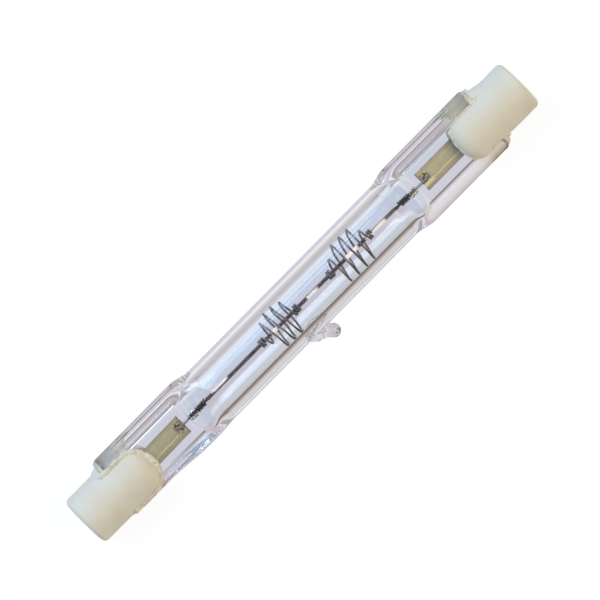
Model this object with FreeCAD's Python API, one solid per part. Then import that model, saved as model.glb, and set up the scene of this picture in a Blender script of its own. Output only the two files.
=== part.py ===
import FreeCAD, Part

import math
import os

# Double-ended linear halogen lamp, 78 mm size, in millimetres.
#
# The lamp lies along X with its light centre at the origin, and +Z is up. It is modelled with
# the pinch seals flat in the XY plane and the exhaust stub towards -Y. The finished pieces are
# then rolled about X to how the lamp lies on a table, on its tube and the end of the stub.
#
# A clear quartz tube is pinched flat at both ends round a molybdenum foil. A tungsten filament
# runs down the bore between two inner leads, and two wire spirals hold it off the wall. Each
# pinch is cemented into the slot of a ceramic cap. An outer lead joins each foil to the contact
# in a recess of the cap's end face.

Vector = FreeCAD.Vector
ORIGIN = Vector(0, 0, 0)
X_AXIS = Vector(1, 0, 0)
Y_AXIS = Vector(0, 1, 0)
Z_AXIS = Vector(0, 0, 1)

# Whole lamp
overall_length = 78.3
recess_depth = 1.7  # end face of a cap to its contact, which leaves the contacts 74.9 apart
surplus = 1.0  # how far a cutting tool runs past the surface it cuts

# Quartz tube
tube_diameter = 8.4
tube_wall = 1.45
shoulder_length = 3.1  # round tube to flat pinch
shoulder_steps = 4

# Pinch seal: a thin web between two thicker rails
pinch_length = 14.0
pinch_width = 9.2
pinch_thickness = 3.4
pinch_edge_radius = 0.8
pinch_corner_radius = 0.7
pinch_corner_chamfer = 0.9
web_width = 5.5
web_thickness = 2.3
rail_slope = 0.6  # how far the wall of the web's channel leans over its depth
channel_setback = 1.1  # end of the shoulder to the floor of the channel

# Squeezed end of the bore: it spreads sideways as it closes
cavity_width = 6.6
cavity_end_width = 4.6
cavity_end_height = 0.24
cavity_run = 0.5  # past the end of the shoulder
spread_rate = 1.25  # above 1, the cavity is fully spread before its end
closing_power = 1.3
narrowing_power = 5.0  # high, so that it narrows only close to its end
pocket_radius = 0.56  # round the inner lead's coil
pocket_run = 1.1  # past the end of the shoulder
cavity_sides = 16
cavity_steps = 5

# Exhaust stub, melted off after filling
stub_radius = 1.0
stub_reach = 2.25  # beyond the tube
stub_lean = 45.0  # degrees from -Y towards +X
stub_end_x = 0.3
stub_fillet = 0.5
stub_hole_radius = 0.4
stub_hole_stop = 1.5  # solid quartz left at the end
seam_tolerance = 0.01  # from the seam between stub and tube to the surfaces that meet there

# Ceramic cap: a round head and two cheeks that hold the pinch
cap_diameter = 7.3
head_length = 5.35
cheek_length = 6.0
end_chamfer = 0.38
cheek_nose_radius = 2.0
cheek_nose_steps = 3
cheek_inset = 0.1  # how much nearer the axis the cheeks' surface is than the head's
inset_run = 0.52  # along the cap, from the head's diameter down to the cheeks'
inset_gap = 0.1  # from the cement's fillets to the head's full diameter
recess_diameter = 3.3
recess_chamfer = 0.2
lead_hole_diameter = 1.8

# Cement
cheek_gap = 0.15  # between a cheek and the rails
pad_thickness = 0.45  # between the end of the pinch and the slot's floor
left_bead_width = 0.5
right_bead_width = 0.2
fillet_run = 1.0  # along the cap, at the corners of the pinch
fillet_rise = 0.6  # out from the cap's surface, at the same corners

# Contact: a flat head on a shank
contact_head_thickness = 0.6
contact_ledge = 0.2  # from the wall of the recess to the seat that the contact lies in
contact_side_gap = 0.05
contact_chamfer = 0.1
shank_diameter = 1.7
shank_length = 1.9

# Leads and sealing foil
outer_lead_diameter = 0.6
inner_lead_diameter = 0.35
weld_sink = 0.03  # how deep a lead is flattened against the foil
foil_setback = 2.1  # end of the shoulder to the foil
foil_length = 8.0
foil_width = 2.9
foil_thickness = 0.03
foil_crease = 0.6  # from the lamp's axis, towards -Y
foil_crease_drop = 0.12
foil_edge_taper = 0.2
inner_weld_length = 1.3
outer_weld_length = 1.5

# Filament, and the coil that clamps each end of it to a lead
filament_diameter = 0.72
filament_bore = 0.4
lead_insertion = 0.9
coil_wire = 0.24
coil_length = 3.3
coil_pitch = 0.44
coil_run = 0.85  # past the end of the shoulder
coil_gap = 0.01  # between the coil and the lead it clamps
wire_gap = 0.05  # round the spirals, and between the filament and the coil

# Wire spirals that keep the filament in the middle of the bore
spiral_wire = 0.28
grip_turns = 2.0  # tight turns on the filament, at both ends
gather_turns = 0.75  # from the wall back to the filament
left_spiral_share = 0.308  # of the way to the tube's end, where the first wide turn is at -Y
left_spiral_pitch = 1.22
left_spiral_spread = 1.5  # turns taken to reach the wall
left_spiral_turns = 2.25
left_spiral_tilt = -0.11  # how far a wide turn leans along X
right_spiral_share = 0.412
right_spiral_pitch = 1.37
right_spiral_spread = 1.0
right_spiral_turns = 3.0
right_spiral_tilt = 0.3
wire_sides = 5  # of a wound wire's section
spiral_points = 8  # in a turn
coil_points = 6

# Worked out from the sizes above
tube_radius = tube_diameter / 2
bore_radius = tube_radius - tube_wall
cap_radius = cap_diameter / 2
filament_radius = filament_diameter / 2
inner_lead_radius = inner_lead_diameter / 2
outer_lead_radius = outer_lead_diameter / 2
shank_radius = shank_diameter / 2
recess_radius = recess_diameter / 2
seat_radius = recess_radius - contact_ledge
lead_hole_radius = lead_hole_diameter / 2

end_x = overall_length / 2
contact_x = end_x - recess_depth
recess_floor_x = contact_x - contact_head_thickness
shank_x = recess_floor_x - shank_length
slot_floor_x = end_x - head_length
cheek_x = slot_floor_x - cheek_length
slot_height = pinch_thickness + 2 * cheek_gap
pinch_end_x = slot_floor_x - pad_thickness
pinch_x = pinch_end_x - pinch_length
tube_end_x = pinch_x - shoulder_length
head_x = pinch_end_x + fillet_run + inset_gap
foil_x = pinch_x + foil_setback
foil_end_x = foil_x + foil_length
foil_top = weld_sink - inner_lead_radius
coil_end_x = pinch_x + coil_run
filament_end_x = coil_end_x - coil_length - wire_gap

# The stub's round end is at the height of the tube's underside when the lamp lies on a table.
stub_centre_y = tube_radius + stub_reach - stub_radius
rest_roll = math.degrees(math.asin((tube_radius - stub_radius) / stub_centre_y))


def box(low, high):
    """A box between two corners."""
    size = Vector(*high) - Vector(*low)
    return Part.makeBox(size.x, size.y, size.z, Vector(*low))


def rod(x_from, x_to, radius, z=0.0):
    """A round bar along X."""
    return Part.makeCylinder(radius, x_to - x_from, Vector(x_from, 0, z), X_AXIS)


def outline(points):
    """A closed wire of straight edges."""
    corners = [Vector(*point) for point in points]
    return Part.makePolygon(corners + corners[:1])


def mirrored(shape, normal=X_AXIS):
    """The same shape on the other side of the lamp's middle."""
    return shape.mirror(ORIGIN, normal)


def turned(profile):
    """A solid of revolution about X from the corners of a closed profile."""
    return Part.Face(outline(profile)).revolve(ORIGIN, X_AXIS, 360)


def pinch_section():
    """The eight edges of the pinch's rounded section, as lists of (y, z) points."""
    half_y, half_z = pinch_width / 2, pinch_thickness / 2
    flat_y, flat_z = half_y - pinch_edge_radius, half_z - pinch_edge_radius
    dent = pinch_edge_radius * (1 - math.sqrt(0.5))
    side = [(half_y, -flat_z), (half_y, 0), (half_y, flat_z)]
    corner = [(half_y, flat_z), (half_y - dent, half_z - dent), (flat_y, half_z)]
    top = [(flat_y, half_z), (0, half_z), (-flat_y, half_z)]
    far_corner = [(-y, z) for y, z in reversed(corner)]
    half = [side, corner, top, far_corner]
    return half + [[(-y, -z) for y, z in edge] for edge in half]


def shoulder_section(x, share):
    """A section of the shoulder, from the round tube at share 0 to the flat pinch at share 1."""
    edges = []
    for corner_points in pinch_section():
        points = []
        for y, z in corner_points:
            to_circle = tube_radius / math.hypot(y, z)
            scale = to_circle + share * (1 - to_circle)
            points.append(Vector(x, y * scale, z * scale))
        start, middle, end = points
        if middle.distanceToLine(start, end - start) < Part.Precision.confusion():
            edges.append(Part.makeLine(start, end))
        else:
            edges.append(Part.Arc(start, middle, end).toShape())
    return Part.Wire(edges)


def shoulder():
    """The S-shaped run from the round tube to the flat pinch."""
    sections = []
    for i in range(shoulder_steps + 1):
        t = i / shoulder_steps
        ease = t * t * (3 - 2 * t)
        sections.append(shoulder_section(tube_end_x + t * shoulder_length, ease))
    return Part.makeLoft(sections, True, True)


def pinch_corners():
    """What is missing at the end of the pinch: a round corner at +Y and a chamfer at -Y."""
    half_width = pinch_width / 2
    above = pinch_thickness / 2 + surplus
    round_x = pinch_end_x - pinch_corner_radius
    round_y = half_width - pinch_corner_radius
    block = box((round_x, round_y, -above), (pinch_end_x + surplus, half_width + surplus, above))
    keep = Part.makeCylinder(pinch_corner_radius, 2 * above, Vector(round_x, round_y, -above), Z_AXIS)
    chamfer = [
        (pinch_end_x - pinch_corner_chamfer, -half_width, -above),
        (pinch_end_x, -half_width + pinch_corner_chamfer, -above),
        (pinch_end_x + surplus, -half_width, -above),
        (pinch_end_x, -half_width - surplus, -above),
    ]
    return [block.cut(keep), Part.Face(outline(chamfer)).extrude(Vector(0, 0, 2 * above))]


def channel_outline(z, lean):
    """The channel's outline at a height, widened by how far its walls lean there."""
    start, end = pinch_x + channel_setback - lean, pinch_end_x + surplus
    half = web_width / 2 + lean
    return outline([(start, -half, z), (end, -half, z), (end, half, z), (start, half, z)])


def web_channels():
    """The channels pressed into both faces of the pinch, which leave the web and the rails."""
    floor, top = web_thickness / 2, pinch_thickness / 2
    mouth = top + surplus
    lean = rail_slope * (mouth - floor) / (top - floor)
    channel = Part.makeLoft([channel_outline(floor, 0), channel_outline(mouth, lean)], True, True)
    return [channel, mirrored(channel, Z_AXIS)]


def oval(x, half_y, half_z):
    """A many-sided oval across the lamp's axis."""
    angles = [2 * math.pi * k / cavity_sides for k in range(cavity_sides)]
    return outline([(x, half_y * math.cos(a), half_z * math.sin(a)) for a in angles])


def cavity_end():
    """The squeezed end of the bore."""
    widest, last = cavity_width / 2, cavity_end_width / 2
    sections = []
    for i in range(cavity_steps + 1):
        t = i / cavity_steps
        spread = math.sin(math.pi / 2 * min(1.0, spread_rate * t)) ** 2
        closing = math.sin(math.pi / 2 * t) ** closing_power
        half_y = bore_radius + (widest - bore_radius) * spread + (last - widest) * t**narrowing_power
        half_z = bore_radius + (cavity_end_height / 2 - bore_radius) * closing
        x = tube_end_x + t * (shoulder_length + cavity_run)
        sections.append(oval(x, half_y, half_z))
    return Part.makeLoft(sections, True, True)


def bore():
    """The hollow of the tube, with both squeezed ends and the pockets round the leads' coils."""
    hollow = cavity_end().fuse(rod(tube_end_x, pinch_x + pocket_run, pocket_radius))
    return rod(-tube_end_x, tube_end_x, bore_radius).fuse([hollow, mirrored(hollow)])


def stub_rod(radius, from_y, to_y):
    """A bar along the leaning axis of the stub, between two distances from the lamp's axis."""
    lean = math.radians(stub_lean)
    start = Vector(stub_end_x - (stub_centre_y - from_y) * math.tan(lean), -from_y, 0)
    direction = Vector(math.sin(lean), -math.cos(lean), 0)
    return Part.makeCylinder(radius, (to_y - from_y) / math.cos(lean), start, direction)


def stub_seam(edge):
    """Whether an edge is where the stub meets the tube."""
    middle = edge.valueAt((edge.FirstParameter + edge.LastParameter) / 2)
    lean = math.radians(stub_lean)
    direction = Vector(math.sin(lean), -math.cos(lean), 0)
    from_stub = middle.distanceToLine(Vector(stub_end_x, -stub_centre_y, 0), direction)
    on_wall = abs(math.hypot(middle.y, middle.z) - tube_radius) < seam_tolerance
    return on_wall and abs(from_stub - stub_radius) < seam_tolerance


def tube_with_stub():
    """The round tube and the stub, with a fillet where the stub grew out of the wall."""
    tube = rod(-tube_end_x, tube_end_x, tube_radius)
    whole = tube.fuse(stub_rod(stub_radius, bore_radius, stub_centre_y))
    whole = whole.makeFillet(stub_fillet, [edge for edge in whole.Edges if stub_seam(edge)])
    return whole.fuse(Part.makeSphere(stub_radius, Vector(stub_end_x, -stub_centre_y, 0)))


def envelope_outside():
    """The quartz without its hollows."""
    slab = Part.Face(shoulder_section(pinch_x, 1)).extrude(Vector(pinch_length, 0, 0))
    pinch = shoulder().fuse(slab).cut(web_channels() + pinch_corners())
    return tube_with_stub().fuse([pinch, mirrored(pinch)])


def quartz_envelope():
    """Quartz tube, both pinch seals and the exhaust stub: one piece of glass."""
    stub_hole = stub_rod(stub_hole_radius, bore_radius - surplus, stub_centre_y - stub_hole_stop)
    metal = seal_foil().fuse([inner_lead(), outer_lead()])
    return envelope_outside().cut([bore(), stub_hole, metal, mirrored(metal)])


def seal_foil():
    """Thin molybdenum ribbon with feathered edges and a lengthwise crease."""
    half, flat = foil_width / 2, foil_width / 2 - foil_edge_taper
    under = foil_top - foil_thickness
    middle = foil_top - foil_thickness / 2
    drop = foil_crease_drop * (flat - foil_crease) / (half - foil_crease)
    section = [
        (foil_x, half, middle),
        (foil_x, flat, foil_top),
        (foil_x, -foil_crease, foil_top),
        (foil_x, -flat, foil_top - drop),
        (foil_x, -half, middle - foil_crease_drop),
        (foil_x, -flat, under - drop),
        (foil_x, -foil_crease, under),
        (foil_x, flat, under),
    ]
    return Part.Face(outline(section)).extrude(Vector(foil_length, 0, 0))


def inner_lead():
    """The rod that carries one end of the filament, flattened where it is welded to the foil."""
    wire = rod(filament_end_x - lead_insertion, foil_x + inner_weld_length, inner_lead_radius)
    return wire.cut(seal_foil())


def outer_lead():
    """The wire from the foil out to the contact."""
    z = foil_top - weld_sink + outer_lead_radius
    wire = rod(foil_end_x - outer_weld_length, shank_x, outer_lead_radius, z)
    return wire.cut(seal_foil())


def cap_body():
    """The cap before its slot and holes are cut: a round head, and cheeks with a domed nose."""
    cheek_top = cap_radius - cheek_inset
    profile = [(cheek_x, 0, 0)]
    for i in range(cheek_nose_steps + 1):
        a = math.pi / 2 * i / cheek_nose_steps
        x = cheek_x + cheek_nose_radius * (1 - math.cos(a))
        profile.append((x, 0, cheek_top - cheek_nose_radius * (1 - math.sin(a))))
    profile.append((head_x - inset_run, 0, cheek_top))
    profile.append((head_x, 0, cap_radius))
    profile.append((end_x - end_chamfer, 0, cap_radius))
    profile.append((end_x, 0, cap_radius - end_chamfer))
    profile.append((end_x, 0, 0))
    return turned(profile)


def slot(height):
    """The space between the cheeks, open on three sides."""
    return box((cheek_x - surplus, -pinch_width, -height / 2), (slot_floor_x, pinch_width, height / 2))


def ceramic_cap():
    """Ceramic cap with its slot for the pinch and its recess for the contact."""
    seat = rod(recess_floor_x, end_x, seat_radius)
    recess = rod(contact_x, end_x + surplus, recess_radius)
    flare_length = recess_chamfer + surplus
    mouth_x = end_x - recess_chamfer
    mouth = Part.makeCone(
        recess_radius, recess_radius + flare_length, flare_length, Vector(mouth_x, 0, 0), X_AXIS
    )
    lead_hole = rod(slot_floor_x - surplus, end_x, lead_hole_radius)
    return cap_body().cut([slot(slot_height), seat, recess, mouth, lead_hole])


def bead(width):
    """Cement squeezed out round the cheeks, as an even band about their outline."""
    radius = cheek_nose_radius + width
    half = cap_radius + width
    low = -slot_height / 2
    nose_x = cheek_x + cheek_nose_radius
    band = box((nose_x, -half, low), (slot_floor_x, half, -low))
    tip = box((cheek_x - width, radius - half, low), (nose_x, half - radius, -low))
    corner = Part.makeCylinder(radius, -2 * low, Vector(nose_x, half - radius, low), Z_AXIS)
    return band.fuse([tip, corner, mirrored(corner, Y_AXIS)])


def cap_cement(bead_width):
    """Cement that fills the slot, its bead round the cheeks and its fillets at the pinch's corners."""
    low = -pinch_thickness / 2
    root = cap_radius - pinch_corner_radius
    triangle = outline([
        (pinch_end_x - pinch_corner_radius, root, low),
        (pinch_end_x - pinch_corner_radius, cap_radius + fillet_rise, low),
        (pinch_end_x + fillet_run, cap_radius, low),
        (pinch_end_x + fillet_run, root, low),
    ])
    fillet = Part.Face(triangle).extrude(Vector(0, 0, pinch_thickness))
    whole = bead(bead_width).fuse([fillet, mirrored(fillet, Y_AXIS)])
    return whole.cut([envelope_outside(), ceramic_cap(), outer_lead()])


def contact():
    """Nickel contact: its head lies in its seat, and its shank is welded to the outer lead's end."""
    head_radius = seat_radius - contact_side_gap
    profile = [
        (contact_x - contact_chamfer, 0, head_radius),
        (recess_floor_x, 0, head_radius),
        (recess_floor_x, 0, shank_radius),
        (shank_x, 0, shank_radius),
        (shank_x, 0, 0),
        (contact_x, 0, 0),
        (contact_x, 0, head_radius - contact_chamfer),
    ]
    return turned(profile)


def filament():
    """Filament body, with a bore that the inner leads enter at both ends."""
    bore_tool = rod(-filament_end_x, filament_end_x, filament_bore / 2)
    return rod(-filament_end_x, filament_end_x, filament_radius).cut(bore_tool)


def wound_wire(points, radius):
    """A wire through the points of a winding, as short straight runs with mitred corners."""
    along = (points[1] - points[0]).normalize()
    across = along.cross(Vector(0, points[0].y, points[0].z)).normalize()
    outward = across.cross(along)
    ring = []
    for k in range(wire_sides):
        a = 2 * math.pi * k / wire_sides
        ring.append(points[0] + outward * (radius * math.cos(a)) + across * (radius * math.sin(a)))
    section = Part.makePolygon(ring + ring[:1])
    mitred = 1
    return Part.makePolygon(points).makePipeShell([section], True, False, mitred)


def clear_radius(radius, points_per_turn):
    """The radius for a winding's points, so that the middles of its straight runs keep a radius."""
    return radius / math.cos(math.pi / points_per_turn)


def winding(low_x, stages, radius, points_per_turn, tilt=0.0):
    """Points of a wire wound about X. Each stage is (turns, end radius, pitch, end tilt), and the
    wire passes -Y at low_x when the first two stages are done."""
    lead_in = stages[:2]
    x = low_x - sum(turns * pitch for turns, _, pitch, _ in lead_in)
    angle = math.pi - 2 * math.pi * sum(turns for turns, _, _, _ in lead_in)
    points = []
    for turns, end_radius, pitch, end_tilt in stages:
        steps = max(1, round(turns * points_per_turn))
        for i in range(steps):
            t = i / steps
            ease = t * t * (3 - 2 * t)
            r = radius + (end_radius - radius) * ease
            lean = tilt + (end_tilt - tilt) * ease
            a = angle + 2 * math.pi * turns * t
            y, z = r * math.cos(a), r * math.sin(a)
            points.append(Vector(x + pitch * turns * t + lean * math.cos(a), y, z))
        x += pitch * turns
        angle += 2 * math.pi * turns
        radius, tilt = end_radius, end_tilt
    y, z = radius * math.cos(angle), radius * math.sin(angle)
    return points + [Vector(x + tilt * math.cos(angle), y, z)]


def lead_coil():
    """The coil that clamps the filament's end to the inner lead."""
    wire = coil_wire / 2
    radius = clear_radius(inner_lead_radius + wire + coil_gap, coil_points)
    turns = (coil_length - 2 * wire) / coil_pitch
    stages = [(turns, radius, coil_pitch, 0.0)]
    return wound_wire(winding(coil_end_x - wire, stages, radius, coil_points), wire)


def support_spiral(low_x, pitch, spread_turns, turns, tilt):
    """A wire spiral: tight on the filament, out to the wall of the bore, and back."""
    wire = spiral_wire / 2
    grip = clear_radius(filament_radius + wire + wire_gap / 2, spiral_points)
    wall = bore_radius - wire - wire_gap
    grip_pitch = spiral_wire + wire_gap
    stages = [
        (grip_turns, grip, grip_pitch, 0.0),
        (spread_turns, wall, pitch, tilt),
        (turns, wall, pitch, tilt),
        (gather_turns, grip, pitch, 0.0),
        (grip_turns, grip, grip_pitch, 0.0),
    ]
    return wound_wire(winding(low_x, stages, grip, spiral_points), wire)


def parts():
    """Every separate piece of the lamp by name."""
    left_coil = lead_coil()
    left_coil.rotate(ORIGIN, Y_AXIS, 180)
    left_low = -left_spiral_share * tube_end_x
    left_spiral = support_spiral(
        left_low, left_spiral_pitch, left_spiral_spread, left_spiral_turns, left_spiral_tilt
    )
    right_low = right_spiral_share * tube_end_x
    right_spiral = support_spiral(
        right_low, right_spiral_pitch, right_spiral_spread, right_spiral_turns, right_spiral_tilt
    )
    pieces = {
        "quartz_envelope": quartz_envelope(),
        "filament": filament(),
        "support_spiral_left": left_spiral,
        "support_spiral_right": right_spiral,
        "lead_coil_left": left_coil,
        "lead_coil_right": lead_coil(),
        "cap_cement_left": mirrored(cap_cement(left_bead_width)),
        "cap_cement_right": cap_cement(right_bead_width),
    }
    for make in (inner_lead, seal_foil, outer_lead, contact, ceramic_cap):
        pieces[make.__name__ + "_left"] = mirrored(make())
        pieces[make.__name__ + "_right"] = make()
    return pieces


os.makedirs("parts", exist_ok=True)
for name, piece in parts().items():
    piece.rotate(ORIGIN, X_AXIS, rest_roll)
    piece.exportStep(os.path.join("parts", name + ".step"))
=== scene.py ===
"""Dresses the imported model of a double-ended halogen lamp for its studio picture."""

import math

import bmesh
import bpy
from bpy.props import FloatProperty, FloatVectorProperty, IntProperty, PointerProperty
from mathutils import Matrix, Vector, noise


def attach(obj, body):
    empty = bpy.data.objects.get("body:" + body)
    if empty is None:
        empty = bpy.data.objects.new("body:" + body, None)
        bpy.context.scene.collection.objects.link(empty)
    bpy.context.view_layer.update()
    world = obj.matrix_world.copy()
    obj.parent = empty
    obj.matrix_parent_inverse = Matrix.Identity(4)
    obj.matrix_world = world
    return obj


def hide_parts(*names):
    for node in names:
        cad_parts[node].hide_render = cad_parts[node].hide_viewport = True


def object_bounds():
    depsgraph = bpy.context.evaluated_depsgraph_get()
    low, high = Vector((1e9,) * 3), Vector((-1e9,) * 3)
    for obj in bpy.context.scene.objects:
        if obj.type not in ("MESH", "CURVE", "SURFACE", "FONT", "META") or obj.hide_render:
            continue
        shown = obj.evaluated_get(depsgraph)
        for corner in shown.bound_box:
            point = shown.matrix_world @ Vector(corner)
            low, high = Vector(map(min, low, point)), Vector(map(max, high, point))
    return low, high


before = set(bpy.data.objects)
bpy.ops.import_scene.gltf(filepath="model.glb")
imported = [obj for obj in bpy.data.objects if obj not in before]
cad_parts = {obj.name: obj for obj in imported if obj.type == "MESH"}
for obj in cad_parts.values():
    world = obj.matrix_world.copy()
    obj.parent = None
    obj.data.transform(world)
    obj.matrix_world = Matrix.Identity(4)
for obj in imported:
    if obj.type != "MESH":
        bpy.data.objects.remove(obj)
cad_bounds = [list(corner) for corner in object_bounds()]

bl_info = {
    "name": "Linear Halogen Lamp",
    "version": (1, 0, 0),
    "blender": (4, 5, 0),
    "location": "View3D > Sidebar > Lamp",
    "description": "Builds a double-ended halogen lamp with its quartz, wires, caps and studio",
    "category": "Object",
}

MM = 0.001
SIDES = (("left", -1), ("right", 1))

# The exhaust stub's lean towards +X, and where its round end stands along X.
STUB_LEAN = math.radians(45.0)
STUB_SHIFT = 0.3 * MM

# From a contact's face to the floor of the seat that it lies in.
SEAT_DEPTH = 0.6 * MM

# Width of the picture in pixels.
PICTURE_WIDTH = 600


# Settings

def length(name, default, description):
    """A length in metres with its default in millimetres."""
    return FloatProperty(
        name=name, default=default * MM, description=description, unit="LENGTH", precision=5, min=0.0
    )


def tint(name, default, description):
    """A colour that a user may change."""
    return FloatVectorProperty(
        name=name, default=default, description=description, subtype="COLOR", size=3, min=0.0, max=1.0
    )


class QuartzSettings(bpy.types.PropertyGroup):
    """Sizes of the quartz envelope."""

    tube_radius: length("Tube radius", 4.2, "Outside radius of the round tube")
    bore_radius: length("Bore radius", 2.75, "Inside radius of the round tube")
    tube_end: length("Tube end", 16.25, "From the middle of the lamp to the end of the round tube")
    shoulder: length("Shoulder", 3.1, "Length of the run from round tube to flat pinch")
    pinch_end: length("Pinch end", 33.35, "From the middle of the lamp to the end of the glass")
    pinch_half_width: length("Pinch half width", 4.6, "Half the width of the flat pinch")
    rail_half_height: length("Rail half height", 1.7, "Half the thickness of the pinch's rails")
    web_half_width: length("Web half width", 2.7, "Half the width of the thin web")
    web_half_height: length("Web half height", 1.15, "Half the thickness of the thin web")
    stub_radius: length("Stub radius", 1.0, "Radius of the melted-off exhaust stub")
    stub_reach: length("Stub reach", 5.45, "From the lamp's axis to the middle of the stub's round end")
    # Both tints are painted: the greyer outside tint is painted shade on the thick outer wall, and the blue
    # inside tint is a painted reflection of a blue room on the bore's wall and the webs. The quartz itself is
    # clear.
    outside_shade_tint: tint("Outside tint", (0.845, 0.825, 0.845), "Tint of light that passes the outside")
    inside_reflection_tint: tint("Inside tint", (0.89, 0.95, 1.0), "Tint of the bore's wall and the webs")
    # Painted shade: the stub's end is tinted grey-blue.
    stub_shade_tint: tint("Stub tint", (0.66, 0.68, 0.78), "Tint of the melted stub")


class WireSettings(bpy.types.PropertyGroup):
    """Sizes and colours of the filament, spirals, leads and foils."""

    filament_radius: length("Filament radius", 0.3, "Outside radius of the coiled filament")
    filament_wire: length("Filament wire", 0.075, "Radius of the filament's wire")
    filament_pitch: length("Filament pitch", 0.2, "From turn to turn of the filament")
    filament_end: length("Filament end", 16.85, "From the middle of the lamp to the filament's end")
    spiral_wire: length("Spiral wire", 0.14, "Radius of the support spirals' wire")
    coil_wire: length("Coil wire", 0.12, "Radius of the lead coils' wire")
    lead_radius: length("Lead radius", 0.175, "Radius of the inner leads")
    foil_start: length("Foil start", 21.45, "From the middle of the lamp to the foil")
    foil_end: length("Foil end", 29.45, "From the middle of the lamp to the foil's outer end")
    foil_half_width: length("Foil half width", 1.45, "Half the width of the sealing foil")
    tungsten_colour: tint("Tungsten", (0.20, 0.17, 0.155), "Colour of the filament")
    spiral_colour: tint("Spirals", (0.25, 0.23, 0.25), "Colour of the support spirals")
    coil_colour: tint("Coils", (0.06, 0.042, 0.045), "Colour of the coils on the inner leads")
    foil_colour: tint("Foil", (0.60, 0.54, 0.41), "Colour of the sealing foils")


class CapSettings(bpy.types.PropertyGroup):
    """Sizes and colours of the ceramic caps, their cement and their contacts."""

    cap_radius: length("Cap radius", 3.65, "Radius of the ceramic cap")
    cap_end: length("Cap end", 39.15, "From the middle of the lamp to a cap's end face")
    slot_floor: length("Slot floor", 33.8, "From the middle of the lamp to the floor of the cap's slot")
    cheek_tip: length("Cheek tip", 27.8, "From the middle of the lamp to the tips of the cheeks")
    slot_half_height: length("Slot half height", 1.85, "Half the height of the slot between the cheeks")
    cheek_inset: length("Cheek inset", 0.1, "How much nearer the axis the cheeks are than the head")
    inset_start: length("Inset start", 33.93, "From the middle of the lamp to where the cap starts to widen")
    inset_end: length("Inset end", 34.45, "From the middle of the lamp to the head's full radius")
    nose_radius: length("Nose radius", 2.0, "Radius of the cheeks' rounded nose")
    end_chamfer: length("End chamfer", 0.38, "Chamfer round the end face")
    recess_radius: length("Recess radius", 1.65, "Radius of the recess in the end face")
    seat_radius: length("Seat radius", 1.45, "Radius of the seat that the contact lies in")
    contact_depth: length("Contact depth", 1.7, "From the end face to the contact")
    ceramic_colour: tint("Ceramic", (0.84, 0.775, 0.645), "Colour of the ceramic")
    cement_colour: tint("Cement", (0.80, 0.73, 0.60), "Colour of the cement")
    contact_colour: tint("Contact", (0.60, 0.57, 0.52), "Colour of the nickel contacts")


class StudioSettings(bpy.types.PropertyGroup):
    """The camera, the floor, and the pattern of the cement's lumps."""

    field: length("Field", 76.0, "Width of the picture at the lamp")
    distance: length("Distance", 700.0, "From the camera to the lamp")
    elevation: FloatProperty(
        name="Elevation", default=math.radians(70.0), subtype="ANGLE",
        description="Angle of the camera above the floor",
    )
    bank: FloatProperty(
        name="Bank", default=math.radians(45.33), subtype="ANGLE",
        description="Lean of the lamp in the picture",
    )
    floor_size: length("Floor size", 2400.0, "Width of the floor")
    grain_seed: IntProperty(
        name="Grain", default=4, min=0, description="Which pattern of lumps the cement takes"
    )


# Shader maths

class Socket:
    """An output socket that can be used in expressions."""

    def __init__(self, shader, output):
        self.shader = shader
        self.output = output

    def maths(self, operation, *values, clamp=False):
        """A Math node on this socket and further values."""
        settings = {"operation": operation, "use_clamp": clamp}
        return self.shader.node("Math", settings, (self,) + values)

    def __add__(self, other):
        return self.maths("ADD", other)

    def __radd__(self, other):
        return self.maths("ADD", other)

    def __sub__(self, other):
        return self.maths("SUBTRACT", other)

    def __rsub__(self, other):
        return self.shader.node("Math", {"operation": "SUBTRACT"}, (other, self))

    def __mul__(self, other):
        return self.maths("MULTIPLY", other)

    def __rmul__(self, other):
        return self.maths("MULTIPLY", other)

    def __truediv__(self, other):
        return self.maths("DIVIDE", other)

    def clamped(self):
        """The value held between 0 and 1."""
        return self.maths("ADD", 0.0, clamp=True)

    def step(self, start, end):
        """0 at start and 1 at end, with an even rise between them."""
        return ((self - start) / (end - start)).clamped()

    def between(self, start, full, falling, end):
        """0 up to start, 1 from full to falling, and 0 again from end on."""
        return self.step(start, full) * (1.0 - self.step(falling, end))

    def power(self, exponent):
        """The value raised to a power."""
        return self.maths("POWER", exponent)

    def size(self):
        """The value without its sign."""
        return self.maths("ABSOLUTE")


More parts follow.
